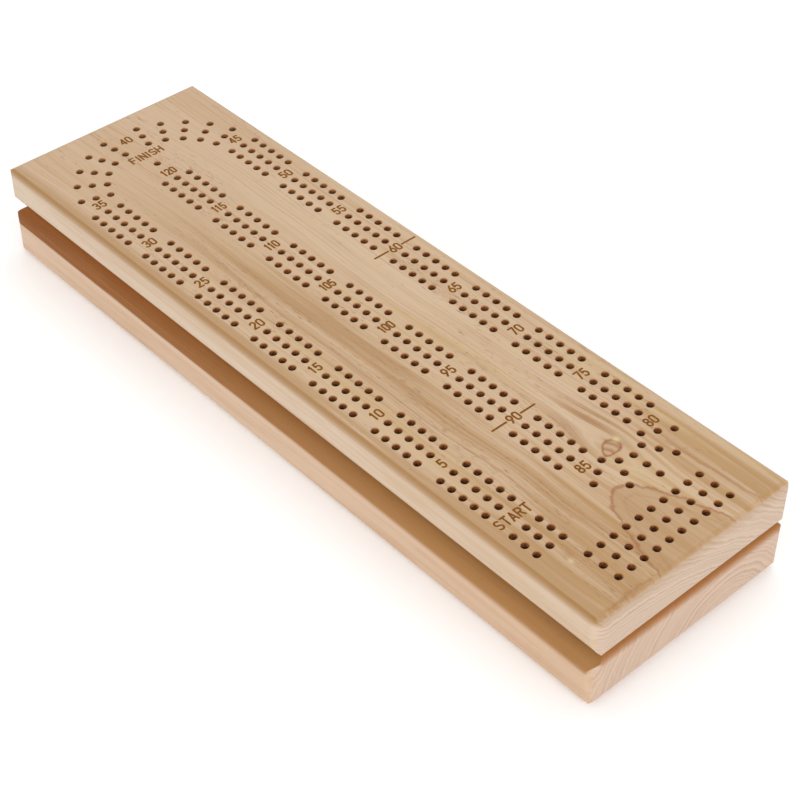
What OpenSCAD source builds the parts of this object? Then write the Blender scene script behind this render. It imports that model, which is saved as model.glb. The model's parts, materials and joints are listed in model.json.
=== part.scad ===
// Three-track cribbage board with a swivel top.
// A drilled top board turns on one pivot bolt over a base board that stores two card decks and the pegs.
// +X runs along the board towards the START end, +Y across it, and +Z up.
// The origin is the centre of the underside.

/* [Boards] */
// Length of both boards
board_l = 368; // [365:1:372]
// Width of both boards
board_w = 105; // [103:1:112]
// Thickness of the top board
top_t = 20; // [18:0.5:22]
// Thickness of the base board
base_t = 26; // [24:0.5:28]
// Gap between the boards, held open by the thrust washer
board_gap = 0.5; // [0.4:0.1:1]
// Radius of the four upright corners
corner_r = 5.5; // [2:0.5:6]
// Round on the long edges of the playing face
top_side_r = 2.6; // [1:0.2:4]
// Round on the end edges of the playing face
top_end_r = 5; // [2:0.2:5]
// Round on the long edges of the underside
foot_side_r = 4; // [1:0.5:5]
// Round on the end edges of the underside
foot_end_r = 7.5; // [2:0.5:8]
// Round on the near side where the boards meet
near_mate_r = 8.5; // [4:0.5:9]
// Round on the far side where the boards meet
far_mate_r = 6; // [4:0.5:9]
// Round on the START end where the boards meet
start_mate_r = 4.5; // [3:0.5:6]
// Round on the FINISH end where the boards meet
finish_mate_r = 10; // [5:0.5:10]

/* [Peg holes] */
// Diameter of a peg hole
hole_d = 3.2; // [3:0.1:3.6]
// Depth of a peg hole
hole_depth = 11; // [9:0.5:11]
// Depth of the eased rim of a peg hole
rim_depth = 0.3; // [0.2:0.05:0.5]
// Distance between holes along a lane
hole_pitch = 6; // [5.8:0.1:6.1]
// Distance between the three tracks of a lane
track_pitch = 6.7; // [6:0.1:6.8]
// Distance between the middle tracks of two lanes
lane_pitch = 37.9; // [36:0.1:38]
// Distance between groups of five holes
group_pitch = 36.7; // [36:0.1:37]
// Groups of five holes in a lane
lane_groups = 7; // [5:1:7]
// Place of the first hole column along the board
first_hole_x = 119; // [117:0.5:120]
// Mid radius of the small turn between the far and centre lanes
small_turn_r = 19.4; // [19:0.1:20]
// Distance between the columns of the game counter
counter_pitch = 7.4; // [7:0.1:7.6]

/* [Storage] */
// Length of a card pocket
deck_l = 93; // [90:1:93]
// Width of a card pocket
deck_w = 68; // [66:1:70]
// Depth of the pockets
pocket_depth = 21; // [18:0.5:21]
// Length of the peg well
well_l = 75; // [70:1:76]
// Width of the peg well
well_w = 40; // [38:1:50]
// Thickness of the walls between pockets
pocket_wall = 7; // [6:0.5:7]

/* [Pivot] */
// Distance of the pivot from the START end
pivot_inset = 32; // [29.5:0.5:33]
// Diameter of the bolt's shoulder
shoulder_d = 6; // [5:0.5:6]
// Radial running clearance of the shoulder in its bushing
running_gap = 0.05; // [0.03:0.01:0.1]

/* [Pegs] */
// Length of a peg
peg_l = 30; // [26:1:32]
// Diameter of a peg's head
peg_head_d = 5.2; // [4.5:0.1:5.6]
// Diameter of a peg's shank
peg_shank_d = 2.9; // [2.7:0.1:2.9]

/* [Hidden] */
$fn = 48;
eps = 0.01;
cut = 1;                                  // how far a cutter runs past the face it opens
holes_per_group = 5;
counter_rows = 10;
counter_cols = 3;
counter_shift = -0.6;                     // the counter sits this far off the centre line
start_gap = 14.2;                         // first hole column to first start column
counter_gap = 38.2;                       // first hole column to first counter column
finish_gap = 15;                          // last hole column to the finish hole
turn_lead = 18;                           // angle from a lane's last hole to the turn's first
turn_step = 15;                           // angle between the holes of the large turn
small_turn_step = 29.75;                  // angle between the holes of the small turn
small_turn_out = 2;                       // its centre past the first hole column

side_mates = [near_mate_r, far_mate_r];
end_mates = [finish_mate_r, start_mate_r];
lid_z = base_t + board_gap;
top_z = lid_z + top_t;
last_hole_x = first_hole_x - (lane_groups - 1) * group_pitch - (holes_per_group - 1) * hole_pitch;

pivot_x = board_l / 2 - pivot_inset;
pocket_floor_z = base_t - pocket_depth;
end_block = 24;                           // solid wood left of the first pocket, for the magnets
deck_a_x = -board_l / 2 + end_block + deck_l / 2;
deck_b_x = deck_a_x + deck_l + pocket_wall;
well_x = deck_b_x + deck_l / 2 + pocket_wall + well_l / 2;
pocket_r = 6;
thumb_r = 13;                             // half-round thumb notch beside a deck
thumb_reach = 6;                          // how far it cuts past the pocket's edge

magnet_d = 8;
magnet_t = 3;
magnet_sink = 0.2;
magnet_x = -board_l / 2 + 16;
magnet_y = 25;

// Pivot stack, from the underside up
head_d = 12;
head_t = 3.2;
head_z = 1;
hex_af = 4;                               // socket, across flats
hex_depth = 2;
stack_gap = 0.05;                         // running gap between parts of the pivot stack
spring_t = 1;
washer_t = 1;
washer_d = 13;
washer_bore = 6.5;
spring_z = head_z + head_t + stack_gap;
washer_z = spring_z + spring_t;
flange_z = washer_z + washer_t;
flange_t = 1;
flange_d = 14;
sleeve_d = 10;
recess_d = 17;
thrust_d = 24;
thrust_t = 0.8;
thrust_gap = 0.1;                         // lid to thrust washer
thrust_z = lid_z - thrust_gap - thrust_t;
sleeve_top_z = thrust_z;
thread_d = 5;
thread_l = 6.8;
insert_d = 8;
insert_l = 7.6;
insert_flange_d = 12;
insert_flange_t = 1;
insert_sink = 0.4;                        // insert face below the lid's underside

peg_colours = ["goldenrod", "silver", "dimgray"];
peg_names = ["brass", "silver", "black"];
peg_set = 3;
peg_row_pitch = 7.5;
peg_shank_l = 12;
peg_neck_l = 3;
peg_tilt = atan((peg_head_d - peg_shank_d) / 2 / (peg_l - peg_head_d / 2));

// ---- Shared shapes ----

// What a quarter round of radius r removes from a square corner at the origin
module corner_cut(r) {
    difference() {
        translate([-cut, -cut]) square(r + cut);
        translate([r, r]) circle(r, $fn = 96);
    }
}

// Rectangle w by h standing on the x axis; each pair of radii is for the minus and the plus corner
module eased_profile(w, h, bottom_r, top_r) {
    difference() {
        translate([-w / 2, 0]) square([w, h]);
        for (side = [0, 1]) mirror([side, 0]) {
            translate([-w / 2, 0]) corner_cut(bottom_r[side]);
            translate([-w / 2, h]) mirror([0, 1]) corner_cut(top_r[side]);
        }
    }
}

// Rectangle l by w about the origin with round corners
module rounded_plan(l, w, r) {
    difference() {
        square([l, w], center = true);
        for (sx = [0, 1], sy = [0, 1])
            mirror([sx, 0]) mirror([0, sy]) translate([-l / 2, -w / 2]) corner_cut(r);
    }
}

// A board of thickness t with every edge rounded: side radii are [near, far], end radii [FINISH, START]
module slab(t, bottom_side_r, top_side_r, bottom_end_r, top_end_r) {
    intersection() {
        linear_extrude(t) rounded_plan(board_l, board_w, corner_r);
        rotate([90, 0, 90]) linear_extrude(board_l + 2 * cut, center = true)
            eased_profile(board_w, t, bottom_side_r, top_side_r);
        rotate([90, 0, 0]) linear_extrude(board_w + 2 * cut, center = true)
            eased_profile(board_l, t, bottom_end_r, top_end_r);
    }
}

// Disc with a hole, standing on z
module ring(outer_d, inner_d, h, z) {
    translate([0, 0, z]) difference() {
        cylinder(d = outer_d, h = h);
        translate([0, 0, -cut]) cylinder(d = inner_d, h = h + 2 * cut);
    }
}

// ---- Peg hole layout ----

module peg_hole() {
    translate([0, 0, -hole_depth]) cylinder(d = hole_d, h = hole_depth + cut, $fn = 24);
    translate([0, 0, -rim_depth])
        cylinder(d1 = hole_d, d2 = hole_d + 2 * (rim_depth + cut), h = rim_depth + cut, $fn = 24);
}

// Three straight lanes of three tracks, in groups of five
module lane_holes() {
    for (lane = [-1:1], track = [-1:1], group = [0:lane_groups - 1], i = [0:holes_per_group - 1])
        translate([first_hole_x - group * group_pitch - i * hole_pitch,
                   lane * lane_pitch + track * track_pitch, 0])
            peg_hole();
}

// Half turn between the two outer lanes, five holes on each side of the centre line
module large_turn_holes() {
    for (side = [-1, 1], track = [-1:1], i = [0:holes_per_group - 1]) {
        a = turn_lead + i * turn_step;
        r = lane_pitch + track * track_pitch;
        translate([last_hole_x - r * sin(a), side * r * cos(a), 0]) peg_hole();
    }
}

// Small half turn between the far and centre lanes
module small_turn_holes() {
    for (track = [-1:1], i = [-2:2]) {
        a = i * small_turn_step;
        r = small_turn_r + track * track_pitch;
        translate([first_hole_x + small_turn_out + r * cos(a), lane_pitch / 2 + r * sin(a), 0])
            peg_hole();
    }
}

// Start block, game counter and the single finish hole
module end_holes() {
    for (track = [-1:1], i = [0:2])
        translate([first_hole_x + start_gap + i * hole_pitch, -lane_pitch + track * track_pitch, 0])
            peg_hole();
    for (col = [0:counter_cols - 1], row = [0:counter_rows - 1])
        translate([first_hole_x + counter_gap + col * counter_pitch,
                   counter_shift + (row - (counter_rows - 1) / 2) * track_pitch, 0])
            peg_hole();
    translate([last_hole_x - finish_gap, 0, 0]) peg_hole();
}

// ---- Boards ----

module magnet_pocket(z, from_top) {
    depth = magnet_t + magnet_sink;
    for (side = [-1, 1])
        translate([magnet_x, side * magnet_y, z - (from_top ? depth : cut)])
            cylinder(d = magnet_d, h = depth + cut);
}

module top_board() {
    color("burlywood") difference() {
        translate([0, 0, lid_z])
            slab(top_t, side_mates, [top_side_r, top_side_r], end_mates, [top_end_r, top_end_r]);
        translate([0, 0, top_z]) {
            lane_holes();
            large_turn_holes();
            small_turn_holes();
            end_holes();
        }
        translate([pivot_x, 0, lid_z - cut]) {
            cylinder(d = insert_d, h = cut + insert_sink + insert_l);
            cylinder(d = insert_flange_d, h = cut + insert_sink + insert_flange_t);
        }
        magnet_pocket(lid_z, false);
    }
}

module deck_pocket(x) {
    translate([x, 0, pocket_floor_z]) {
        linear_extrude(pocket_depth + cut) rounded_plan(deck_l, deck_w, pocket_r);
        for (side = [-1, 1])
            translate([0, side * (deck_w / 2 + thumb_reach - thumb_r), 0])
                cylinder(r = thumb_r, h = pocket_depth + cut);
    }
}

module base_board() {
    color("burlywood") difference() {
        slab(base_t, [foot_side_r, foot_side_r], side_mates, [foot_end_r, foot_end_r], end_mates);
        deck_pocket(deck_a_x);
        deck_pocket(deck_b_x);
        translate([well_x, 0, pocket_floor_z])
            linear_extrude(pocket_depth + cut) rounded_plan(well_l, well_w, pocket_r);
        translate([pivot_x, 0, 0]) {
            translate([0, 0, -cut]) cylinder(d = recess_d, h = flange_z + cut);
            translate([0, 0, flange_z - eps]) cylinder(d = flange_d, h = flange_t + eps);
            cylinder(d = sleeve_d, h = base_t);
            translate([0, 0, thrust_z]) cylinder(d = thrust_d, h = base_t);
        }
        magnet_pocket(base_t, true);
    }
}

// ---- Pivot ----

// Shoulder bolt: button head below, shoulder through the base, thread into the top board
module pivot_bolt() {
    shoulder_top = lid_z + insert_sink;
    color("dimgray") translate([pivot_x, 0, 0]) difference() {
        union() {
            rotate_extrude() button_profile();
            translate([0, 0, head_z]) cylinder(d = shoulder_d, h = shoulder_top - head_z);
            translate([0, 0, shoulder_top - eps]) cylinder(d = thread_d, h = thread_l + eps);
        }
        translate([0, 0, head_z - cut])
            cylinder(d = hex_af / cos(30), h = hex_depth + cut, $fn = 6);
    }
}

// Half section of the bolt's head, domed on its underside
module button_profile() {
    dome = head_t - 1;
    translate([0, head_z]) difference() {
        square([head_d / 2, head_t]);
        translate([head_d / 2, 0]) mirror([1, 0]) corner_cut(dome);
    }
}

module threaded_insert() {
    color("goldenrod") translate([pivot_x, 0, lid_z + insert_sink]) difference() {
        union() {
            cylinder(d = insert_d, h = insert_l);
            cylinder(d = insert_flange_d, h = insert_flange_t);
        }
        translate([0, 0, -cut]) cylinder(d = thread_d, h = thread_l + cut + 0.5);
    }
}

module pivot_bushing() {
    color("goldenrod") translate([pivot_x, 0, 0]) difference() {
        union() {
            translate([0, 0, flange_z]) cylinder(d = flange_d, h = flange_t);
            translate([0, 0, flange_z]) cylinder(d = sleeve_d, h = sleeve_top_z - flange_z);
        }
        cylinder(d = shoulder_d + 2 * running_gap, h = base_t + cut);
    }
}

module thrust_washer() {
    color("ivory") translate([pivot_x, 0, 0]) ring(thrust_d, washer_bore, thrust_t, thrust_z);
}

module flat_washer() {
    color("silver") translate([pivot_x, 0, 0]) ring(washer_d, washer_bore, washer_t, washer_z);
}

module spring_washer() {
    color("gray") translate([pivot_x, 0, 0]) ring(head_d - 0.6, washer_bore, spring_t, spring_z);
}

// ---- Magnets ----

module magnet(side, z) {
    color("silver") translate([magnet_x, side * magnet_y, z]) cylinder(d = magnet_d, h = magnet_t);
}

// ---- Pegs ----

// Half section of a peg, tip at the origin
module peg_profile() {
    head_r = peg_head_d / 2;
    shank_r = peg_shank_d / 2;
    tip = 0.6;
    intersection() {
        union() {
            polygon([
                [0, 0], [shank_r - tip, 0], [shank_r, tip], [shank_r, peg_shank_l],
                [shank_r - 0.35, peg_shank_l + 0.8], [shank_r - 0.35, peg_shank_l + 1.6],
                [shank_r, peg_shank_l + peg_neck_l],
                [head_r, peg_l - head_r], [0, peg_l - head_r]
            ]);
            translate([0, peg_l - head_r]) circle(head_r, $fn = 64);
        }
        square([head_r, peg_l]);
    }
}

// Peg number n of nine, lying across the well on its head and its tip
module peg(n, colour) {
    x = well_x + (n - 4) * peg_row_pitch;
    color(colour)
        translate([x, peg_l / 2 * (n % 2 == 0 ? 1 : -1), pocket_floor_z + peg_shank_d / 2 + eps])
            rotate([0, 0, n % 2 == 0 ? 0 : 180])
                rotate([90 - peg_tilt, 0, 0]) rotate_extrude() peg_profile();
}

top_board();
base_board();
pivot_bolt();
threaded_insert();
pivot_bushing();
thrust_washer();
flat_washer();
spring_washer();
magnet(-1, lid_z + magnet_sink);  // lid_magnet_near
magnet(1, lid_z + magnet_sink);  // lid_magnet_far
magnet(-1, base_t - magnet_sink - magnet_t);  // base_magnet_near
magnet(1, base_t - magnet_sink - magnet_t);  // base_magnet_far
for (kind = [0:len(peg_names) - 1], i = [1:peg_set])
    peg(kind * peg_set + i - 1, peg_colours[kind]);
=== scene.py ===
"""Looks for a three-track wooden cribbage board with a swivel top."""
import bpy
import json
import math
from functools import reduce
from types import SimpleNamespace
import numpy as np
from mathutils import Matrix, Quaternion, Vector


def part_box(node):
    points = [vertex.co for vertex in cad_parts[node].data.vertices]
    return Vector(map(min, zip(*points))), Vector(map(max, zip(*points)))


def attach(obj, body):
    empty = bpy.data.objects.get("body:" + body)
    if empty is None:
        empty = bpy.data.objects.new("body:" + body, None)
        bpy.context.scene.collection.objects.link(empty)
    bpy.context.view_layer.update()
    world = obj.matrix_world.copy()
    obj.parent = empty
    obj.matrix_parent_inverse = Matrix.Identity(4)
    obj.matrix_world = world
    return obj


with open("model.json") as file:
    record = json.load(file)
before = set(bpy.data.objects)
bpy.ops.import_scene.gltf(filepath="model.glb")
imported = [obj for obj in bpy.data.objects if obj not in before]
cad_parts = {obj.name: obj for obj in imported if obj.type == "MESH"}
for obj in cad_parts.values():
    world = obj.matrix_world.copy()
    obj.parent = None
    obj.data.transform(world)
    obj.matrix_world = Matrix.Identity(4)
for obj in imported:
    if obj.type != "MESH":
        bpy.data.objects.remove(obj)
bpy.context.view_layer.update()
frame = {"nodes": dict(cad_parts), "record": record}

MM = 0.001

# ---- Sizes read from the frame, in millimetres ----
TOP_LOW, TOP_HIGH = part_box("top_board")
BASE_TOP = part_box("base_board")[1][2]
HALF_L = (TOP_HIGH[0] - TOP_LOW[0]) / 2 / MM
HALF_W = (TOP_HIGH[1] - TOP_LOW[1]) / 2 / MM
TOP_Z = TOP_HIGH[2] / MM
PARTING_Z = (BASE_TOP + TOP_LOW[2]) / 2 / MM
MOUNTS = {m["name"]: m for m in frame["record"]["mounts"]}

# ---- Drilling layout, in millimetres ----
HOLE_PITCH = 6.0
LANE_PITCH = 37.9
GROUP_PITCH = 36.7
LANE_GROUPS = 7
HOLES_PER_GROUP = 5
FINISH_GAP = 15.0
FINISH_X = MOUNTS["finish_peg_hole"]["pos_m"][0] / MM
LAST_HOLE_X = FINISH_X + FINISH_GAP
FIRST_HOLE_X = LAST_HOLE_X + (LANE_GROUPS - 1) * GROUP_PITCH + (HOLES_PER_GROUP - 1) * HOLE_PITCH


# ---- Camera, lights and floor ----

# Angles in degrees, lengths in metres, the lens in millimetres
VIEW_AZIMUTH = 47.743
VIEW_ELEVATION = 42.237
VIEW_ROLL = 0.058
VIEW_DISTANCE = 0.72056
VIEW_TARGET = Vector((0.05166, -0.02552, TOP_HIGH[2] - 0.0002))
VIEW_LENS = 83.25
LIGHT_BOXES = [
    # name, place, target, diameter, watts
    ("front_box", (0.35, -1.25, 0.62), (0, 0, 0.02), 0.9, 4.0),
    ("right_box", (1.35, -0.15, 0.55), (0.1, 0, 0.02), 0.8, 4.0),
    ("overhead_box", (-0.25, 0.35, 1.5), (0, 0, 0.02), 1.0, 4.0),
]
SKY_STRENGTH = 0.80
FLOOR_SIZE = 12
FLOOR_DROP = 0.0002
FLOOR_WHITE = 0.97
FLOOR_GLOW = 0.10


def add_camera():
    az = math.radians(VIEW_AZIMUTH)
    el = math.radians(VIEW_ELEVATION)
    out = Vector((math.sin(az) * math.cos(el), -math.cos(az) * math.cos(el), math.sin(el)))
    data = bpy.data.cameras.new("camera")
    data.lens = VIEW_LENS
    data.sensor_width = 36
    data.clip_start = 0.01
    camera = bpy.data.objects.new("camera", data)
    camera.location = VIEW_TARGET + out * VIEW_DISTANCE
    roll = Quaternion((0, 0, 1), math.radians(VIEW_ROLL))
    camera.rotation_euler = (out.to_track_quat("Z", "Y") @ roll).to_euler()
    bpy.context.scene.collection.objects.link(camera)
    bpy.context.scene.camera = camera


def add_area(name, place, target, size, power):
    data = bpy.data.lights.new(name, "AREA")
    data.shape = "DISK"
    data.size = size
    data.energy = power
    light = bpy.data.objects.new(name, data)
    light.location = place
    light.rotation_euler = (Vector(place) - Vector(target)).to_track_quat("Z", "Y").to_euler()
    bpy.context.scene.collection.objects.link(light)


def add_studio():
    world = bpy.data.worlds.new("tent")
    world.use_nodes = True
    sky = world.node_tree.nodes["Background"]
    sky.inputs["Color"].default_value = (1.0, 1.0, 1.0, 1.0)
    sky.inputs["Strength"].default_value = SKY_STRENGTH
    bpy.context.scene.world = world
    for box in LIGHT_BOXES:
        add_area(*box)
    bpy.ops.mesh.primitive_plane_add(size=FLOOR_SIZE, location=(0, 0, -FLOOR_DROP))
    floor = bpy.context.active_object
    floor.name = "floor"
    paper = bpy.data.materials.new("white_paper")
    paper.use_nodes = True
    shader = paper.node_tree.nodes["Principled BSDF"]
    shader.inputs["Base Color"].default_value = (FLOOR_WHITE, FLOOR_WHITE, FLOOR_WHITE, 1)
    shader.inputs["Roughness"].default_value = 0.9
    shader.inputs["Specular IOR Level"].default_value = 0.1
    shader.inputs["Emission Color"].default_value = (1, 1, 1, 1)
    shader.inputs["Emission Strength"].default_value = FLOOR_GLOW
    floor.data.materials.append(paper)
    bpy.context.scene.view_settings.view_transform = "Standard"


# ---- Node helper ----

# Sockets of the Mix node that carry colours
MIX_A, MIX_B, MIX_RESULT = 6, 7, 2


class Graph:
    """A material's node tree, with short calls for the nodes that wood and metal need."""

    def __init__(self, name):
        self.material = bpy.data.materials.new(name)
        self.material.use_nodes = True
        self.tree = self.material.node_tree
        self.shader = self.tree.nodes["Principled BSDF"]
        self.coords = self.add("ShaderNodeTexCoord")

    def add(self, kind):
        return self.tree.nodes.new(kind)

    def put(self, socket, value):
        if isinstance(value, bpy.types.NodeSocket):
            self.tree.links.new(value, socket)
        elif isinstance(value, (tuple, list)) and len(value) == 3 and socket.type == "RGBA":
            socket.default_value = (*value, 1.0)
        else:
            socket.default_value = value

    def math(self, operation, a, b=0.0):
        node = self.add("ShaderNodeMath")
        node.operation = operation
        self.put(node.inputs[0], a)
        self.put(node.inputs[1], b)
        return node.outputs[0]

    def times(self, *values):
        return reduce(lambda a, b: self.math("MULTIPLY", a, b), values)

    def plus(self, *values):
        return reduce(lambda a, b: self.math("ADD", a, b), values)

    def less(self, a, b):
        return self.math("SUBTRACT", a, b)

    def over(self, a, b):
        return self.math("DIVIDE", a, b)

    def absolute(self, value):
        return self.math("ABSOLUTE", value)

    def length(self, a, b):
        return self.math("SQRT", self.plus(self.times(a, a), self.times(b, b)))

    def step(self, value, low, high):
        """0 below low and 1 above high, smooth between; swapped limits give the reverse."""
        node = self.add("ShaderNodeMapRange")
        node.interpolation_type = "SMOOTHSTEP"
        rising = low < high
        self.put(node.inputs["Value"], value)
        self.put(node.inputs["From Min"], min(low, high))
        self.put(node.inputs["From Max"], max(low, high))
        self.put(node.inputs["To Min"], 0.0 if rising else 1.0)
        self.put(node.inputs["To Max"], 1.0 if rising else 0.0)
        return node.outputs["Result"]

    def mix(self, factor, a, b):
        node = self.add("ShaderNodeMix")
        node.data_type = "RGBA"
        self.put(node.inputs[0], factor)
        self.put(node.inputs[MIX_A], a)
        self.put(node.inputs[MIX_B], b)
        return node.outputs[MIX_RESULT]

    def tint(self, colour, tone, *amounts):
        """The colour, turned to the tone by the product of the amounts."""
        return self.mix(self.times(*amounts), colour, tone)

    def vector(self, x, y, z):
        node = self.add("ShaderNodeCombineXYZ")
        for socket, value in zip(node.inputs, (x, y, z)):
            self.put(socket, value)
        return node.outputs[0]

    def split(self, vector):
        node = self.add("ShaderNodeSeparateXYZ")
        self.put(node.inputs[0], vector)
        return node.outputs

    def noise(self, vector, scale=1.0, detail=2.0, rough=0.5):
        node = self.add("ShaderNodeTexNoise")
        self.put(node.inputs["Vector"], vector)
        self.put(node.inputs["Scale"], scale)
        self.put(node.inputs["Detail"], detail)
        self.put(node.inputs["Roughness"], rough)
        return node.outputs["Fac"]

    def stretched(self, place, scale, seed=0.0, detail=2.0, rough=0.5):
        """Noise over a place in millimetres, with its own scale along each axis."""
        x, y, z = (self.times(v, s) for v, s in zip(place, scale))
        return self.noise(self.vector(x, y, self.plus(z, seed)), 1.0, detail, rough)

    def gauss(self, value, centre, width):
        """1 at the centre, falling off on both sides."""
        u = self.over(self.less(value, centre), width)
        return self.math("EXPONENT", self.times(u, u, -1.0))

    def bump(self, height, strength, distance):
        node = self.add("ShaderNodeBump")
        self.put(node.inputs["Height"], height)
        self.put(node.inputs["Strength"], strength)
        self.put(node.inputs["Distance"], distance)
        self.put(self.shader.inputs["Normal"], node.outputs[0])

    def place_mm(self):
        """Position on the object at rest, in millimetres."""
        x, y, z = self.split(self.coords.outputs["Object"])
        return [self.times(v, 1 / MM) for v in (x, y, z)]


# ---- Wood ----

# Tones of the face, the sides, the ends, the painted shade in the groove and the painted shade in the
# holes
LIGHT = (0.620, 0.454, 0.298)
PINK = (0.614, 0.438, 0.288)
PINK_MID = (0.572, 0.396, 0.252)
MID = (0.578, 0.404, 0.250)
DARK = (0.450, 0.272, 0.132)
BROWN = (0.330, 0.145, 0.050)
GOLD = (0.440, 0.250, 0.092)
YELLOW = (0.560, 0.395, 0.180)
PORE = (0.150, 0.066, 0.026)
# The sides are paler than the face partly as painted light
LID_SIDE = (0.630, 0.495, 0.368)
BASE_SIDE = (0.640, 0.460, 0.325)
END = (0.590, 0.450, 0.342)
BASE_END = (0.605, 0.440, 0.330)
END_LINE = (0.380, 0.235, 0.155)
KNOT_EDGE = (0.300, 0.100, 0.038)
KNOT_FILL = (0.430, 0.245, 0.120)
FIGURE_EDGE = (0.330, 0.125, 0.045)
SEED = (0.650, 0.520, 0.280)
# Painted shade in the groove where the boards meet, warm from light bounced between them
GROOVE_SHADE = (0.330, 0.102, 0.014)
GROOVE_SHADE_LOW = (0.245, 0.075, 0.011)
GROOVE_SHADE_FADED = (0.350, 0.170, 0.052)
GROOVE_SHADE_START = (0.385, 0.155, 0.038)
# Painted shade for the hole walls and the far side of their rims
HOLE_SHADE_DARK = (0.150, 0.043, 0.010)
HOLE_SHADE_BROWN = (0.480, 0.190, 0.060)
# Painted shade for the face's rounded edges
ROUNDING_SHADE = (0.330, 0.165, 0.045)
BURN_DARK = (0.140, 0.042, 0.006)
BURN_LIGHT = (0.290, 0.105, 0.016)
BURN_EDGE = (0.460, 0.260, 0.085)

# Places on the drilled face, in millimetres
KNOT_AT = (125.5, 15.0)
KNOT_SIZE = 4.9
KNOT_TILT = (0.94, 0.35)                # cosine and sine
FIGURE_TIP = (141.5, 1.0)               # tip of the pointed figure near the START end
FIGURE_SPREAD = 10.2                    # its half width squared, per millimetre from the tip
SECOND_RING = (0.06, 25.5)              # slope, and Y at the middle of the board
CROSS_LINE_X = 179.8                    # a brown line across the grain, near the START end
SMUDGE_AT = (152.6, -35.8)
FLECK_AT = (155.6, -37.8)
PALE_BAND_Y = 19.0
BROWN_BAND_Y = -19.0

# Growth rings on the end faces: their centre in Y and Z, how close they lie, and the ground's tone
LID_RINGS = ((-40.0, -78.0), 0.95, END)
BASE_RINGS = ((19.0, -10.0), 0.62, BASE_END)

# How far from the parting the painted shade of the groove reaches, in millimetres
NEAR_SHADE_REACH = 9.2
FAR_SHADE_REACH = 6.4
START_SHADE_REACH = 2.9
FINISH_SHADE_REACH = 9.0
SHADE_INSET = 10.5                      # how far in from the ends

SIDE_SHADE = (0.90, 0.83, 0.75)         # the darker wood of a long side
RIM_DEPTH = 0.3
HOLES_END = 12.0                        # below the face, past the deepest hole
EDGE_CLEAR_X = 5.0                      # no hole comes this near to an end
EDGE_CLEAR_Y = 4.4                      # nor this near to a long side


def knot(g, x, y, colour):
    """A small egg-shaped knot with a reddish outline, inner arcs and a pale seed above its broad end."""
    u = g.over(g.less(x, KNOT_AT[0]), KNOT_SIZE)
    v = g.over(g.less(y, KNOT_AT[1]), KNOT_SIZE)
    wobble = g.times(g.less(g.noise(g.vector(u, v, 0.0), 2.4, 2.0), 0.5), 0.35)
    along = g.less(g.times(v, KNOT_TILT[0]), g.times(u, KNOT_TILT[1]))
    aside = g.plus(g.times(u, KNOT_TILT[0]), g.times(v, KNOT_TILT[1]))
    half_width = g.math("MAXIMUM", g.plus(g.times(along, 0.28), 0.66), 0.25)
    aside = g.over(aside, half_width)
    radius = g.plus(g.length(along, aside), wobble)
    inside = g.step(radius, 1.02, 0.88)
    bowed = g.plus(g.times(along, 8.5), g.times(aside, aside, 1.8))
    arcs = g.math("SINE", g.plus(bowed, g.times(wobble, 4.0)))
    colour = g.tint(colour, KNOT_FILL, inside, 0.62)
    colour = g.tint(colour, LIGHT, inside, g.step(arcs, 0.40, 0.90), 0.45)
    colour = g.tint(colour, KNOT_EDGE, inside, g.step(arcs, -0.50, -0.95), 0.50)
    colour = g.tint(colour, KNOT_EDGE, g.gauss(radius, 0.96, 0.15), 0.82)
    return g.tint(colour, SEED, g.gauss(u, -0.42, 0.32), g.gauss(v, 1.12, 0.28), 0.95)


def face_marks(g, w, colour):
    """The drilled face's own marks: pointed figure, second ring, knot, and the bands round the knot."""
    x, y = w.x, w.y
    wobble = g.stretched((x, y, 0.0), (0.16, 0.20, 1.0), 5.0, 3.0, 0.6)
    wobble = g.times(g.less(wobble, 0.5), 4.5)
    ahead = g.times(g.less(x, FIGURE_TIP[0]), FIGURE_SPREAD)
    aside = g.less(y, FIGURE_TIP[1])
    slope = g.math("SQRT", g.plus(g.times(aside, aside, 4.0), FIGURE_SPREAD ** 2))
    inward = g.plus(g.over(g.less(ahead, g.times(aside, aside)), slope), wobble)
    colour = g.tint(colour, DARK, g.step(inward, -0.4, 1.2), 0.60)
    colour = g.tint(colour, FIGURE_EDGE, g.gauss(inward, 0.0, 0.62), 0.74)
    colour = g.tint(colour, BROWN, g.gauss(inward, 5.5, 0.9), 0.20)
    second = g.less(y, g.plus(g.times(x, SECOND_RING[0]), SECOND_RING[1]))
    second = g.gauss(g.plus(second, wobble), 0.0, 0.7)
    colour = g.tint(colour, BROWN, second, g.step(x, 128.0, 140.0), 0.42)
    cross_line = g.gauss(g.plus(x, wobble), CROSS_LINE_X, 0.8)
    colour = g.tint(colour, BROWN, cross_line, g.step(y, -18.0, -26.0), 0.50)

    sweep = g.times(g.gauss(x, KNOT_AT[0] - 15.0, 17.0), g.gauss(w.y_flow, KNOT_AT[1] + 2.0, 8.0))
    colour = g.tint(colour, BROWN, sweep, g.step(w.streaks, 0.38, 0.60), 0.74)
    halo = g.times(g.gauss(x, KNOT_AT[0] + 1.0, 8.0), g.gauss(y, KNOT_AT[1], 7.5))
    colour = g.tint(colour, DARK, halo, 0.30)
    colour = knot(g, x, y, colour)
    colour = g.tint(colour, BROWN, g.gauss(x, SMUDGE_AT[0], 2.6), g.gauss(y, SMUDGE_AT[1], 1.5), 0.40)
    return g.tint(colour, SEED, g.gauss(x, FLECK_AT[0], 1.3), g.gauss(y, FLECK_AT[1], 1.0), 0.80)


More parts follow.
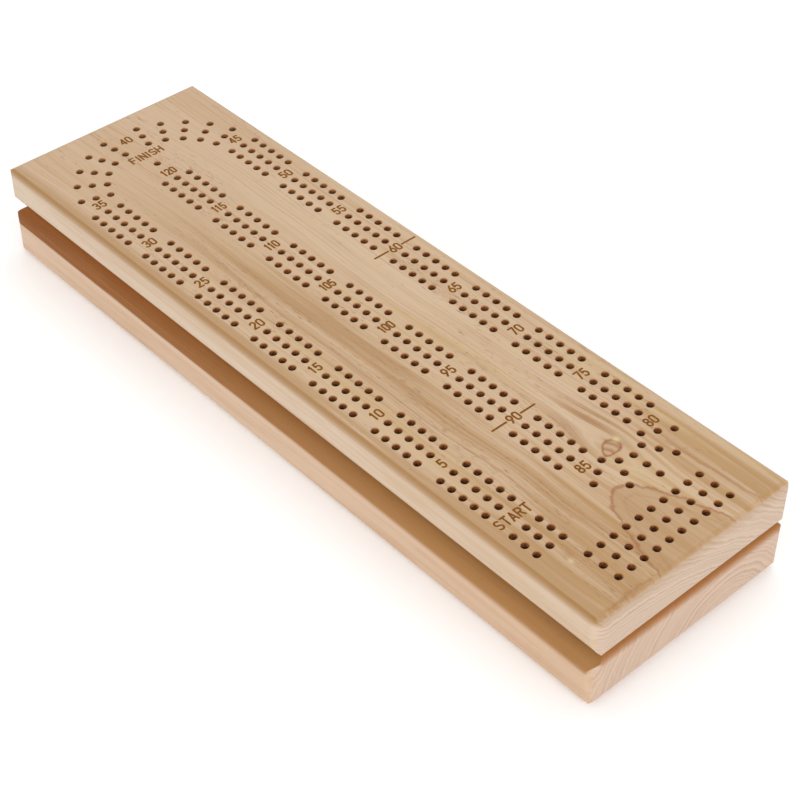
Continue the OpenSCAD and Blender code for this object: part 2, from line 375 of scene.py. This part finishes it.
def grain(g, seed, drilled):
    """Place, direction and grain of the wood, shared by the functions that colour it."""
    w = SimpleNamespace(seed=seed, drilled=drilled)
    w.x, w.y, w.z = g.place_mm()
    w.nx, w.ny, w.nz = g.split(g.coords.outputs["Normal"])

    # The grain wanders a little, and is pushed aside by the knot
    drift = g.stretched((w.x, w.y, w.z), (0.008, 0.018, 0.018), seed, 2.0)
    w.y_flow = g.plus(w.y, g.times(g.less(drift, 0.5), 13.0))
    if drilled:
        off = g.less(w.y, KNOT_AT[1])
        push = g.times(g.gauss(w.x, KNOT_AT[0], 17.0), g.gauss(off, 0.0, 13.0),
                       g.math("TANH", g.over(off, 3.0)))
        w.y_flow = g.less(w.y_flow, g.times(push, 5.0))
    w.place = (w.x, w.y_flow, w.z)
    w.streaks = g.stretched(w.place, (0.009, 0.30, 0.30), seed + 2.0, 3.0, 0.6)
    w.lines = g.stretched(w.place, (0.007, 0.95, 0.95), seed + 3.0, 2.0, 0.6)
    w.fibre = g.stretched(w.place, (0.035, 2.6, 2.6), seed + 4.0, 3.0, 0.65)
    w.finish_end = g.step(w.x, -20.0, -130.0) if drilled else 0.0

    # Vessel marks: short dark dashes that crowd in some bands
    dash = g.stretched(w.place, (0.22, 3.3, 3.3), seed + 7.0, 1.0, 0.4)
    crowd = g.stretched(w.place, (0.010, 0.08, 0.08), seed + 8.0, 2.0)
    if drilled:
        crowd = g.plus(crowd, g.times(g.gauss(w.y_flow, BROWN_BAND_Y, 8.0), 0.16))
    limit = g.less(0.77, g.times(g.step(crowd, 0.35, 0.75), 0.135))
    w.pores = g.step(g.less(dash, limit), -0.01, 0.05)
    return w


def face_colour(g, w):
    """Faces that look up: pale and dark bands along the grain, crossed by finer streaks and pores."""
    broad = g.stretched(w.place, (0.004, 0.055, 0.05), w.seed + 1.0, 2.0)
    contrast = g.less(1.15, g.times(w.finish_end, 0.60))
    tone = g.plus(g.times(broad, 1.3), g.times(g.less(w.streaks, 0.5), contrast))
    tone = g.less(tone, 0.155)
    pale = LIGHT
    if w.drilled:
        # A pale band beyond the middle lane, a brown one before it, and a tawny START end
        pale_band = g.times(g.gauss(w.y_flow, PALE_BAND_Y, 8.0), g.step(w.x, 42.0, -15.0), -0.28)
        brown_band = g.times(g.gauss(w.y_flow, BROWN_BAND_Y, 9.0), g.step(w.x, -175.0, -90.0), 0.30)
        tawny = g.times(g.step(w.x, 95.0, 150.0), 0.17)
        tone = g.less(g.plus(tone, pale_band, brown_band, tawny), g.times(w.finish_end, 0.10))
        pale = g.mix(w.finish_end, LIGHT, PINK)
    colour = g.mix(g.step(tone, 0.18, 0.55), pale, MID)
    colour = g.mix(g.step(tone, 0.48, 0.95), colour, DARK)
    colour = g.tint(colour, BROWN, g.step(w.lines, 0.50, 0.74), 0.42)
    colour = g.tint(colour, BROWN, g.step(w.fibre, 0.50, 0.76), 0.34)
    warm = g.stretched(w.place, (0.012, 0.10, 0.10), w.seed + 6.0, 2.0)
    colour = g.tint(colour, YELLOW, g.step(warm, 0.50, 0.70), g.step(w.x, -120.0, 40.0), 0.34)
    if w.drilled:
        colour = g.tint(colour, PINK_MID, w.finish_end, 0.28)
        colour = g.tint(colour, GOLD, g.step(w.x, 60.0, 135.0), g.step(w.streaks, 0.50, 0.64), 0.50)
    colour = g.tint(colour, PORE, w.pores, 0.62)
    return face_marks(g, w, colour) if w.drilled else colour


def side_colour(g, w):
    """Long sides and undersides, paler and pinker than the face; the paleness is partly painted light,
    standing in for the stronger light on the sides.
    """
    tone = LID_SIDE if w.drilled else BASE_SIDE
    dark = tuple(c * shade for c, shade in zip(tone, SIDE_SHADE))
    shading = g.plus(g.step(w.streaks, 0.42, 0.72), g.times(g.step(w.x, 0.0, 150.0), 0.45))
    side = g.mix(g.math("MINIMUM", shading, 1.0), tone, dark)
    side = g.tint(side, BROWN, g.step(w.lines, 0.52, 0.78), 0.10)
    side = g.tint(side, BROWN, g.step(w.fibre, 0.50, 0.80), 0.10)
    return g.tint(side, PORE, w.pores, 0.14)


def end_colour(g, w):
    """End grain: growth rings over a speckled ground, with pale clouds on top."""
    centre, closeness, ground = LID_RINGS if w.drilled else BASE_RINGS
    ripple = g.stretched((w.x, w.y, w.z), (0.02, 0.16, 0.16), w.seed + 9.0, 3.0, 0.6)
    ring = g.length(g.less(w.y, centre[0]), g.less(w.z, centre[1]))
    ring = g.plus(ring, g.times(ripple, 3.0))
    growth = g.noise(g.vector(g.times(ring, closeness), w.seed, 0.0), 1.0, 2.0, 0.6)
    speckle = g.stretched((0.0, w.y, w.z), (0.0, 2.4, 2.4), w.seed, 2.0)
    end = g.tint(ground, END_LINE, g.step(growth, 0.42, 0.62), 0.50)
    end = g.tint(end, END_LINE, g.step(speckle, 0.52, 0.72), 0.20)
    return g.tint(end, BASE_SIDE, g.step(ripple, 0.50, 0.75), 0.30)


def groove(g, w):
    """Where the painted shade in the groove between the boards lies, and its tone, warm brown from light
    bounced between them, which fades towards the START end.
    """
    # The streaks make the edge of the painted shade ragged
    shade_edge_wobble = g.times(g.less(w.streaks, 0.5), g.less(2.2, g.times(g.absolute(w.nx), 1.8)))
    from_parting = g.absolute(g.less(w.z, PARTING_Z))
    to_start = g.step(w.nx, 0.12, 0.75)
    to_finish = g.step(w.nx, -0.12, -0.75)
    on_side = g.plus(NEAR_SHADE_REACH, g.times(g.step(w.y, -1.0, 1.0), FAR_SHADE_REACH - NEAR_SHADE_REACH))
    reach = g.plus(on_side, g.times(to_start, g.less(START_SHADE_REACH, on_side)),
                   g.times(to_finish, g.less(FINISH_SHADE_REACH, on_side)))
    fade = g.plus(0.7, g.step(w.x, -40.0, 150.0))
    beyond = g.over(g.less(g.plus(from_parting, shade_edge_wobble), reach), fade)
    # Nothing inside the base, such as a pocket's wall, is part of it
    inner_x, inner_y = HALF_L - SHADE_INSET, HALF_W - NEAR_SHADE_REACH
    outer = g.math("MAXIMUM", g.step(g.absolute(w.y), inner_y, inner_y + 1.0),
                   g.step(g.absolute(w.x), inner_x, inner_x + 1.0))
    amount = g.times(g.step(beyond, 1.0, -1.0), outer)
    if w.drilled:
        amount = g.times(amount, g.step(w.nz, -0.25, -0.60))
        tone = GROOVE_SHADE
    else:
        tone = g.mix(g.step(from_parting, 1.0, 3.5), GROOVE_SHADE, GROOVE_SHADE_LOW)
    tone = g.mix(g.step(w.x, -150.0, 120.0), tone, GROOVE_SHADE_FADED)
    tone = g.mix(g.step(w.nx, 0.10, 0.40), tone, GROOVE_SHADE_START)
    tone = g.tint(tone, BROWN, g.step(w.lines, 0.45, 0.72), 0.50)
    return amount, g.tint(tone, PORE, w.pores, 0.45)


def worn_edges(g, w, colour, under):
    """Painted shade on the face's rounded near edge, which turns away from the lamps, and more lightly
    on the START end's rounding, with a dark streaky band along the near edge; under is the depth below
    it.
    """
    near = g.times(g.step(w.ny, -0.02, -0.20), g.step(under, 3.9, 0.0), 1.12)
    start = g.times(g.step(w.nx, 0.12, 0.35), g.step(w.nz, 0.30, 0.80), 0.24)
    rounded = g.step(w.nz, 0.9995, 0.97)
    # Painted shade on the rounding
    colour = g.tint(colour, ROUNDING_SHADE, rounded, g.math("MAXIMUM", near, start), 0.76)
    near_band = g.times(g.step(w.y, 9.0 - HALF_W, 3.0 - HALF_W), g.step(w.nz, 0.90, 0.99))
    return g.tint(colour, DARK, near_band, g.step(w.streaks, 0.25, 0.50), 0.85)


def burnt_holes(g, w, colour, under):
    """Painted shade on the hole walls. The rims get a painted highlight on the near side and painted
    shade on the far side.
    """
    inner_x, inner_y = HALF_L - EDGE_CLEAR_X, HALF_W - EDGE_CLEAR_Y
    inner = g.times(g.step(g.absolute(w.x), inner_x, inner_x - 1.0),
                    g.step(g.absolute(w.y), inner_y, inner_y - 1.0))
    rim = g.times(inner, g.step(under, 0.02, 0.10), g.step(under, RIM_DEPTH + 0.10, RIM_DEPTH))
    # The walls below the rim are painted very dark as painted shade
    wall_shade_mask = g.times(inner, g.step(under, 0.26, 0.50), g.step(under, HOLES_END + 1.0, HOLES_END))
    wall_mottle = g.noise(g.coords.outputs["Object"], 900.0, 2.0)
    wall = g.mix(g.step(wall_mottle, 0.30, 0.75), HOLE_SHADE_DARK, HOLE_SHADE_BROWN)
    wall = g.tint(wall, GOLD, w.finish_end, 0.26)
    # Painted highlight on the near side of each rim, painted shade on the far side
    toward_far = g.plus(g.times(w.nx, -0.74), g.times(w.ny, 0.67))
    colour = g.tint(colour, LIGHT, rim, g.step(toward_far, 0.15, 0.55), 0.60)
    colour = g.tint(colour, HOLE_SHADE_BROWN, rim, g.step(toward_far, -0.05, -0.50), 0.75)
    return g.tint(colour, wall, wall_shade_mask, 0.94)


def wood(name, seed, drilled):
    """Pale wood with its grain along X. The drilled board gets its face's marks and its holes' painted
    shade and rim highlights.
    """
    g = Graph(name)
    w = grain(g, seed, drilled)
    colour = g.mix(g.step(w.nz, 0.60, 0.92), side_colour(g, w), face_colour(g, w))
    colour = g.mix(g.step(g.absolute(w.nx), 0.45, 0.80), colour, end_colour(g, w))
    # Painted shade in the groove where the boards meet
    groove_shade_mask, groove_shade_tone = groove(g, w)
    colour = g.tint(colour, groove_shade_tone, groove_shade_mask, 0.94)
    if drilled:
        under = g.less(TOP_Z, w.z)
        colour = worn_edges(g, w, colour, under)
        colour = burnt_holes(g, w, colour, under)
    g.put(g.shader.inputs["Base Color"], colour)
    g.put(g.shader.inputs["Roughness"], g.plus(0.44, g.times(w.fibre, 0.22)))
    # Less specular where the groove's shade is painted
    g.put(g.shader.inputs["Specular IOR Level"], g.less(0.30, g.times(groove_shade_mask, 0.24)))
    g.bump(g.less(g.times(w.fibre, 0.35), g.times(w.pores, 0.65)), 0.35, 0.00012)
    return g.material


# ---- Metals, nylon and burnt marks ----

def metal(name, colour, rough, streaks):
    """Turned or plated metal: fine random lines in its roughness and relief, and slight tarnish."""
    g = Graph(name)
    x, y, z = g.place_mm()
    lines = g.stretched((x, y, z), streaks, 0.0, 3.0, 0.6)
    cloud = g.noise(g.vector(x, y, z), 0.45, 3.0)
    dull = tuple(c * 0.72 for c in colour)
    g.put(g.shader.inputs["Base Color"], g.mix(g.step(cloud, 0.35, 0.75), colour, dull))
    g.put(g.shader.inputs["Roughness"], g.plus(rough, g.times(lines, 0.16)))
    g.shader.inputs["Metallic"].default_value = 1.0
    g.bump(lines, 0.25, 0.00003)
    return g.material


def nylon():
    g = Graph("nylon")
    x, y, z = g.place_mm()
    mottle = g.noise(g.vector(x, y, z), 0.8, 3.0)
    g.put(g.shader.inputs["Base Color"], g.mix(mottle, (0.80, 0.77, 0.68), (0.88, 0.86, 0.80)))
    g.put(g.shader.inputs["Roughness"], g.plus(0.42, g.times(mottle, 0.12)))
    g.shader.inputs["Subsurface Weight"].default_value = 0.15
    g.shader.inputs["Subsurface Scale"].default_value = 0.001
    g.bump(mottle, 0.15, 0.00004)
    return g.material


def burn():
    """Laser-burnt wood: dark at the middle of a stroke, tan where the burn fades out."""
    g = Graph("laser_burn")
    x, y, z = g.place_mm()
    edge = g.add("ShaderNodeAttribute")
    edge.attribute_name = "burn"
    patch = g.stretched((x, y, 0.0), (0.10, 0.35, 1.0), 2.0)
    grain = g.stretched((x, y, z), (0.9, 5.0, 1.0), 0.0, 3.0)
    strength = g.times(edge.outputs["Fac"], g.step(patch, 0.05, 0.38))
    core = g.mix(g.step(grain, 0.40, 0.70), BURN_DARK, BURN_LIGHT)
    colour = g.mix(strength, BURN_EDGE, core)
    g.put(g.shader.inputs["Base Color"], colour)
    g.shader.inputs["Roughness"].default_value = 0.75
    g.shader.inputs["Specular IOR Level"].default_value = 0.15
    g.bump(grain, 0.3, 0.00004)
    return g.material


# ---- Lettering: strokes in a box 1 wide and 2 high ----

def arc(cx, cy, rx, ry, start, end, steps=14):
    angles = [math.radians(start + (end - start) * i / steps) for i in range(steps + 1)]
    return [(cx + rx * math.cos(a), cy + ry * math.sin(a)) for a in angles]


ROUND_END = arc(0.5, 1.5, 0.5, 0.5, 0, 180) + arc(0.5, 0.5, 0.5, 0.5, 180, 360)
GLYPHS = {
    "0": [ROUND_END + [(1.0, 1.5)]],
    "1": [[(0.05, 1.62), (0.5, 2.0), (0.5, 0.0)]],
    "2": [arc(0.5, 1.5, 0.48, 0.5, 165, -38) + [(0.0, 0.0), (1.0, 0.0)]],
    "3": [arc(0.47, 1.52, 0.45, 0.48, 155, -90) + arc(0.47, 0.52, 0.51, 0.52, 90, -155)],
    "4": [[(0.78, 0.0), (0.78, 2.0), (0.0, 0.52), (1.0, 0.52)]],
    "5": [[(0.93, 2.0), (0.14, 2.0), (0.08, 1.05)] + arc(0.48, 0.62, 0.50, 0.62, 125, -150)],
    "6": [[(0.78, 2.0)] + arc(0.5, 0.60, 0.5, 0.60, 152, -208)],
    "7": [[(0.0, 2.0), (1.0, 2.0), (0.36, 0.0)]],
    "8": [arc(0.5, 1.52, 0.43, 0.48, 0, 360), arc(0.5, 0.52, 0.50, 0.52, 0, 360)],
    "9": [[(0.22, 0.0)] + arc(0.5, 1.40, 0.5, 0.60, -28, 332)],
    "S": [arc(0.5, 1.50, 0.46, 0.50, 35, 270) + arc(0.5, 0.50, 0.48, 0.50, 90, -145)],
    "T": [[(0.0, 2.0), (1.0, 2.0)], [(0.5, 2.0), (0.5, 0.0)]],
    "A": [[(0.0, 0.0), (0.5, 2.0), (1.0, 0.0)], [(0.18, 0.62), (0.82, 0.62)]],
    "R": [[(0.0, 0.0), (0.0, 2.0)] + arc(0.52, 1.50, 0.46, 0.50, 90, -90) + [(0.0, 1.0)],
          [(0.50, 1.0), (1.0, 0.0)]],
    "F": [[(0.0, 0.0), (0.0, 2.0), (0.95, 2.0)], [(0.0, 1.06), (0.8, 1.06)]],
    "I": [[(0.5, 0.0), (0.5, 2.0)]],
    "N": [[(0.0, 0.0), (0.0, 2.0), (1.0, 0.0), (1.0, 2.0)]],
    "H": [[(0.0, 0.0), (0.0, 2.0)], [(1.0, 0.0), (1.0, 2.0)], [(0.0, 1.04), (1.0, 1.04)]],
}
GLYPH_WIDTH = {"1": 0.62, "I": 0.34}
# In millimetres
LETTER_HEIGHT = 4.3                     # between stroke centre lines
STROKE = 1.04                           # width
BURN_FADE = 0.26                        # from a stroke's edge to its full darkness
BURN_RISE = 0.03                        # the burnt layer stands this far off the wood
BURN_RAGGED = 0.018                     # spread of the unevenness of the outline
GRID = 0.13                             # spacing of the points on which the outline is traced
CROSSING_MARGIN = 0.08                  # keeps edge points off the grid points, in cells


def text_strokes(text, centre, digit_width, gap):
    """Polylines of a label. Text runs along +Y with its tops towards -X."""
    widths = [digit_width * GLYPH_WIDTH.get(c, 1.0) for c in text]
    total = sum(widths) + gap * (len(text) - 1)
    across = -total / 2
    lines = []
    for char, width in zip(text, widths):
        for stroke in GLYPHS[char]:
            lines.append([(centre[0] + LETTER_HEIGHT / 2 - v / 2 * LETTER_HEIGHT,
                           centre[1] + across + width * u)
                          for u, v in stroke])
        across += width + gap
    return lines


def distance_to(lines, px, py):
    """Distance from each grid point to the nearest polyline."""
    nearest = np.full(px.shape, 1e9)
    for line in lines:
        for (x0, y0), (x1, y1) in zip(line, line[1:]):
            dx, dy = x1 - x0, y1 - y0
            length2 = dx * dx + dy * dy + 1e-12
            t = np.clip(((px - x0) * dx + (py - y0) * dy) / length2, 0, 1)
            nearest = np.minimum(nearest, np.hypot(px - x0 - t * dx, py - y0 - t * dy))
    return nearest


def burnt_mark(builder, lines, half_width, rng):
    """Adds one label to the mesh: a thin layer bounded by the strokes' slightly ragged outline."""
    xs = [p[0] for line in lines for p in line]
    ys = [p[1] for line in lines for p in line]
    pad = half_width + 3 * GRID
    gx = np.arange(min(xs) - pad, max(xs) + pad + GRID, GRID)
    gy = np.arange(min(ys) - pad, max(ys) + pad + GRID, GRID)
    px, py = np.meshgrid(gx, gy, indexing="ij")
    ragged = rng.normal(0, BURN_RAGGED, px.shape)
    depth = half_width + ragged - distance_to(lines, px, py)
    verts, faces, shades = builder
    index = {}

    def vertex(key, x, y, shade):
        if key not in index:
            index[key] = len(verts)
            verts.append((x, y))
            shades.append(shade)
        return index[key]

    def corner(i, j):
        return vertex((i, j), gx[i], gy[j], min(1.0, depth[i, j] / BURN_FADE))

    def crossing(a, b):
        lo, hi = sorted((a, b))
        t = depth[lo] / (depth[lo] - depth[hi])
        t = min(max(t, CROSSING_MARGIN), 1 - CROSSING_MARGIN)
        return vertex((lo, hi), gx[lo[0]] + t * (gx[hi[0]] - gx[lo[0]]),
                      gy[lo[1]] + t * (gy[hi[1]] - gy[lo[1]]), 0.0)

    for i in range(len(gx) - 1):
        for j in range(len(gy) - 1):
            cell = [(i, j), (i + 1, j), (i + 1, j + 1), (i, j + 1)]
            inside = [depth[c] > 0 for c in cell]
            if not any(inside):
                continue
            ring = []
            for k in range(4):
                here, after = cell[k], cell[(k + 1) % 4]
                if inside[k]:
                    ring.append(corner(*here))
                if inside[k] != inside[(k + 1) % 4]:
                    ring.append(crossing(here, after))
            faces.append(ring)


def marks_object(name, marks, material, seed):
    """One object for a set of labels. Each mark is (polylines, half width of the stroke)."""
    rng = np.random.default_rng(seed)
    builder = ([], [], [])
    for lines, half_width in marks:
        burnt_mark(builder, lines, half_width, rng)
    flat, tops, shades = builder
    count = len(flat)
    low = TOP_Z - BURN_RISE / 2
    high = TOP_Z + BURN_RISE
    # The layer starts with 0.4 of its height at the outline and reaches all of it where it is darkest
    heights = [low + (high - low) * (0.4 + 0.6 * shade) for shade in shades]
    verts = [(x * MM, y * MM, height * MM) for (x, y), height in zip(flat, heights)]
    verts += [(x * MM, y * MM, low * MM) for x, y in flat]
    edges = {}
    for ring in tops:
        for a, b in zip(ring, ring[1:] + ring[:1]):
            edges[(a, b)] = edges.get((a, b), 0) + 1
    faces = list(tops)
    faces += [[v + count for v in reversed(ring)] for ring in tops]
    faces += [[b, a, a + count, b + count] for (a, b) in edges if (b, a) not in edges]
    mesh = bpy.data.meshes.new(name)
    mesh.from_pydata(verts, [], faces)
    mesh.validate()
    layer = mesh.attributes.new("burn", "FLOAT", "POINT")
    layer.data.foreach_set("value", np.array(shades + shades, dtype=np.float32))
    mesh.materials.append(material)
    piece = bpy.data.objects.new(name, mesh)
    bpy.context.scene.collection.objects.link(piece)
    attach(piece, "top")


# Places and widths of the labels, in millimetres
NUMBER_GAP = (GROUP_PITCH - (HOLES_PER_GROUP - 1) * HOLE_PITCH) / 2
SKUNK_NUMBERS = (60, 90)
SKUNK_LINE = (3.95, 11.4)               # a skunk line's ends, from its number
SKUNK_HALF_WIDTH = 0.55
TURN_NUMBER_SHIFT = 1.2                 # 40 stands this far outside its ring of holes
START_AT = (0.7, 0.3)                   # from the middle of its gap
FINISH_AT = (-8.6, 0.2)                 # from the finish hole
DIGIT_WIDTH = 2.1
DIGIT_GAP = 1.05
NARROW_WIDTH = 1.75
NARROW_GAP = 0.85
WORD_WIDTH = 2.35
WORD_GAP = 1.15


def number_places():
    """(number, x, y) of every label in the track's gaps."""
    places = []
    for group in range(LANE_GROUPS):
        gap_x = FIRST_HOLE_X - group * GROUP_PITCH - (HOLES_PER_GROUP - 1) * HOLE_PITCH - NUMBER_GAP
        places.append((5 * (group + 1), gap_x, -LANE_PITCH))
        places.append((90 + 5 * group, gap_x, 0.0))
        places.append((75 - 5 * group, gap_x, LANE_PITCH))
    places.append((40, LAST_HOLE_X - LANE_PITCH - TURN_NUMBER_SHIFT, 0.0))
    places.append((80, FIRST_HOLE_X + NUMBER_GAP, LANE_PITCH))
    places.append((85, FIRST_HOLE_X + NUMBER_GAP, 0.0))
    return places


def add_lettering():
    material = burn()
    half = STROKE / 2
    numbers = []
    skunks = []
    for value, x, y in number_places():
        text = str(value)
        wide = len(text) < 3
        numbers.append((text_strokes(text, (x, y), DIGIT_WIDTH if wide else NARROW_WIDTH,
                                     DIGIT_GAP if wide else NARROW_GAP), half))
        if value in SKUNK_NUMBERS:
            for side in (-1, 1):
                ends = [(x, y + side * reach) for reach in SKUNK_LINE]
                skunks.append(([ends], SKUNK_HALF_WIDTH))
    marks_object("track_numbers", numbers, material, 11)
    marks_object("skunk_lines", skunks, material, 12)
    at = (FIRST_HOLE_X + NUMBER_GAP + START_AT[0], -LANE_PITCH + START_AT[1])
    marks_object("start_word", [(text_strokes("START", at, WORD_WIDTH, WORD_GAP), half)], material, 13)
    at = (FINISH_X + FINISH_AT[0], FINISH_AT[1])
    marks_object("finish_word", [(text_strokes("FINISH", at, WORD_WIDTH, WORD_GAP), half)], material, 14)


# ---- Finishes for the CAD nodes ----

def dress(node_names, material):
    for name in node_names:
        node = frame["nodes"][name]
        node.data.materials.clear()
        node.data.materials.append(material)


def dress_all():
    dress(["top_board"], wood("top_wood", 3.0, True))
    dress(["base_board"], wood("base_wood", 8.0, False))
    brass = metal("turned_brass", (0.80, 0.56, 0.20), 0.22, (2.0, 2.0, 9.0))
    plated = metal("plated_steel", (0.72, 0.72, 0.73), 0.26, (3.0, 3.0, 3.0))
    dress(["threaded_insert", "pivot_bushing"], brass)
    dress(["pivot_bolt"], metal("black_oxide", (0.10, 0.10, 0.105), 0.34, (4.0, 4.0, 9.0)))
    dress(["flat_washer", "spring_washer"], plated)
    dress(["thrust_washer"], nylon())
    magnets = [f"{board}_magnet_{side}" for board in ("lid", "base") for side in ("near", "far")]
    dress(magnets, metal("nickel_plate", (0.76, 0.73, 0.68), 0.14, (1.0, 1.0, 1.0)))
    pegs = {
        "brass": metal("peg_brass", (0.86, 0.62, 0.22), 0.16, (8.0, 1.0, 8.0)),
        "silver": metal("peg_silver", (0.80, 0.80, 0.82), 0.15, (8.0, 1.0, 8.0)),
        "black": metal("peg_black", (0.035, 0.035, 0.04), 0.28, (8.0, 1.0, 8.0)),
    }
    for kind, material in pegs.items():
        dress([f"peg_{kind}_{i}" for i in (1, 2, 3)], material)


add_camera()
add_studio()
dress_all()
add_lettering()
